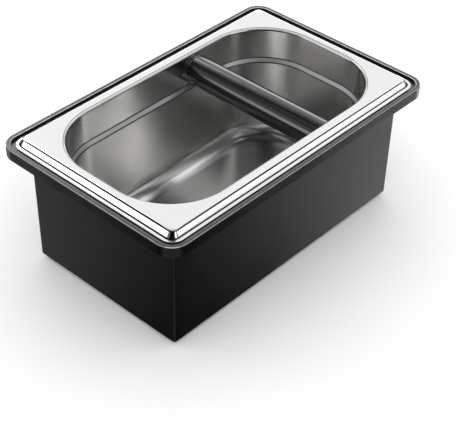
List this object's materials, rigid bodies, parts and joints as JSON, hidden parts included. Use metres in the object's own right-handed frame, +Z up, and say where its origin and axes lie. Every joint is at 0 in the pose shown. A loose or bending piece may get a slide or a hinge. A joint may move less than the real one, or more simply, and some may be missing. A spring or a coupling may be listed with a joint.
{
  "type": "espresso knock box",
  "caption": "Black moulded box on rubber feet with a lift-out stainless pan, crossed by a rubber-covered bar for knocking spent coffee out of a portafilter.",
  "frame": {"origin": "on the plane the feet stand on, under the middle of the box", "axes": "+X along the long side, towards the end that the knock bar is nearer, +Y along the short side, +Z up"},
  "size_m": [0.2778, 0.1742, 0.1108],
  "materials": {
    "box_plastic": "fine haircell grain",
    "pan_steel": "satin, bright rolled flange",
    "bar_rubber": "smooth semi-gloss",
    "bar_steel": "turned, bright",
    "foot_rubber": "matt",
    "zinc_steel": "zinc plated"
  },
  "bodies": {
    "box": {"outer_box": "box_plastic", "foot_front_left": "foot_rubber", "foot_front_right": "foot_rubber", "foot_rear_left": "foot_rubber", "foot_rear_right": "foot_rubber", "foot_washer_front_left": "zinc_steel", "foot_washer_front_right": "zinc_steel", "foot_washer_rear_left": "zinc_steel", "foot_washer_rear_right": "zinc_steel", "foot_screw_front_left": "zinc_steel", "foot_screw_front_right": "zinc_steel", "foot_screw_rear_left": "zinc_steel", "foot_screw_rear_right": "zinc_steel"},
    "pan_unit": {"pan": "pan_steel", "bar_core": "bar_steel", "bar_washer_rear": "bar_steel", "bar_washer_front": "bar_steel", "bar_screw_rear": "bar_steel", "bar_screw_front": "bar_steel"},
    "sleeve": {"bar_sleeve": "bar_rubber"}
  },
  "joints": [
    {"name": "pan_lift", "type": "slide", "parent": "box", "child": "pan_unit", "axis": [0, 0, 1], "range_m": [0, 0.13]},
    {"name": "bar_turn", "type": "hinge", "parent": "pan_unit", "child": "sleeve", "pos_m": [0.0425, 0, 0.0949], "axis": [0, 1, 0], "continuous": true}
  ]
}
